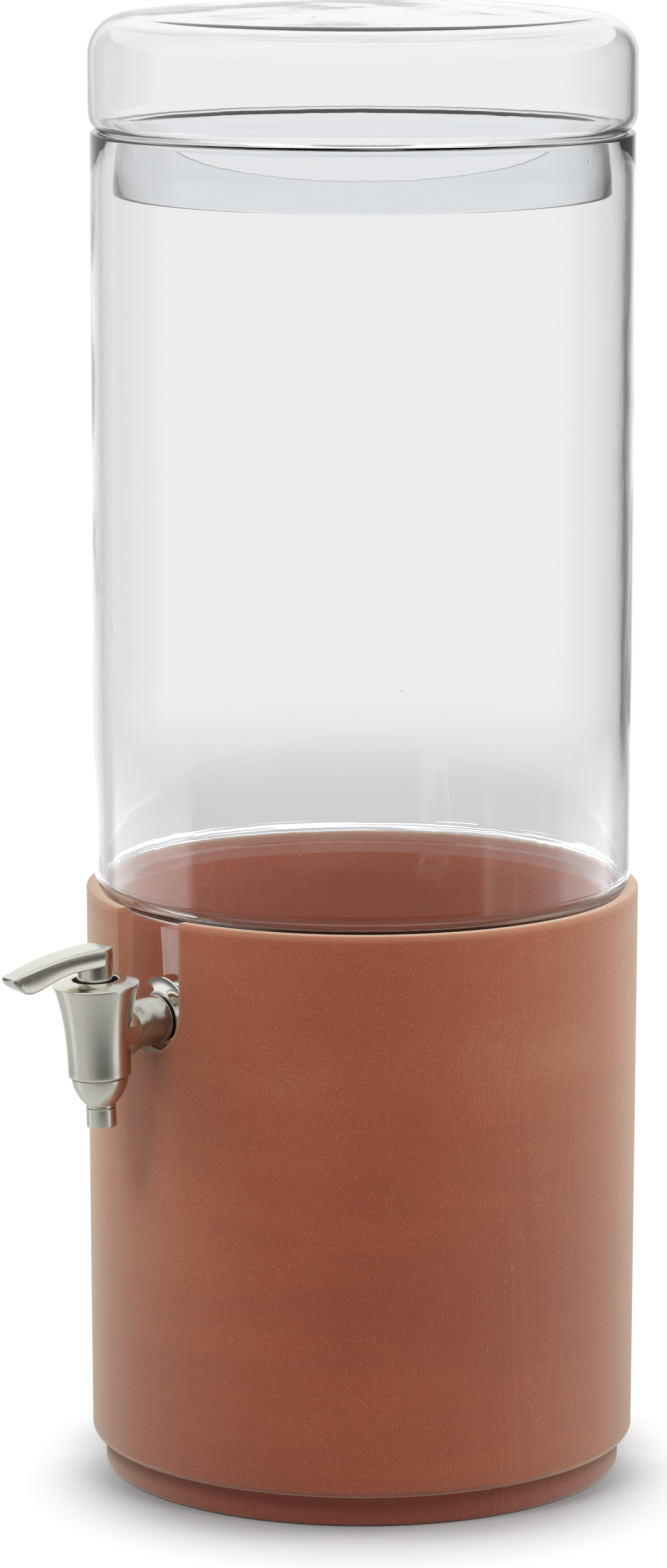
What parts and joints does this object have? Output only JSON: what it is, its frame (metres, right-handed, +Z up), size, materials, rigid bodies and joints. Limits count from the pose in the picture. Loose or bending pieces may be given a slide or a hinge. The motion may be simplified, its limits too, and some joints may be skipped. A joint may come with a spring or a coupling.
{
  "type": "drink dispenser with tap",
  "caption": "Lidded cylindrical glass drink dispenser in a notched terracotta stand, with a brushed steel push-lever tap on the vessel's neck.",
  "frame": {"origin": "centre of the stand's flat underside, on the surface that the dispenser stands on", "axes": "+Z up along the vessel's axis; the tap and the notch in the stand's rim point to -Y"},
  "size_m": [0.22, 0.2866, 0.5862],
  "materials": {
    "terracotta": "matt unglazed",
    "clear_glass": "clear",
    "brushed_steel": "brushed",
    "polished_steel": "polished",
    "spring_steel": "bright",
    "bush_plastic": "matt",
    "black_rubber": "matt",
    "white_silicone": "satin",
    "clear_silicone": "translucent satin"
  },
  "bodies": {
    "stand": {"terracotta_stand": "terracotta"},
    "vessel": {"glass_vessel": "clear_glass", "tap_body": "brushed_steel", "spout_bowl": "brushed_steel", "spout_tip": "brushed_steel", "guide_bush": "bush_plastic", "stem_seal": "black_rubber", "bowl_seal": "black_rubber", "return_spring": "spring_steel", "collar_seal": "black_rubber", "flange": "polished_steel", "outer_gasket": "clear_silicone", "inner_gasket": "white_silicone", "inner_washer": "brushed_steel", "shank_nut": "brushed_steel"},
    "lid": {"glass_lid": "clear_glass"},
    "plunger": {"plunger_rod": "spring_steel", "spring_seat": "spring_steel", "valve_seal": "white_silicone"},
    "lever": {"lever": "brushed_steel", "lever_pin": "spring_steel"}
  },
  "joints": [
    {"name": "vessel_lift", "type": "slide", "parent": "stand", "child": "vessel", "axis": [0, 0, 1], "range_m": [0, 0.08]},
    {"name": "lid_lift", "type": "slide", "parent": "vessel", "child": "lid", "axis": [0, 0, 1], "range_m": [0, 0.06]},
    {"name": "plunger_lift", "type": "slide", "parent": "vessel", "child": "plunger", "axis": [0, -0.0454, 0.999], "range_m": [0, 0.00237], "deforming": ["return_spring"]},
    {"name": "lever_press", "type": "hinge", "parent": "plunger", "child": "lever", "pos_m": [0, -0.13412, 0.21149], "axis": [1, 0, 0], "range_deg": [0, 20], "stiffness_Nm_per_rad": 0.3, "springref_deg": -17.19}
  ],
  "couplings": [
    {"joint": "lever_press", "follows": "plunger_lift", "rad_per_m": 147}
  ]
}
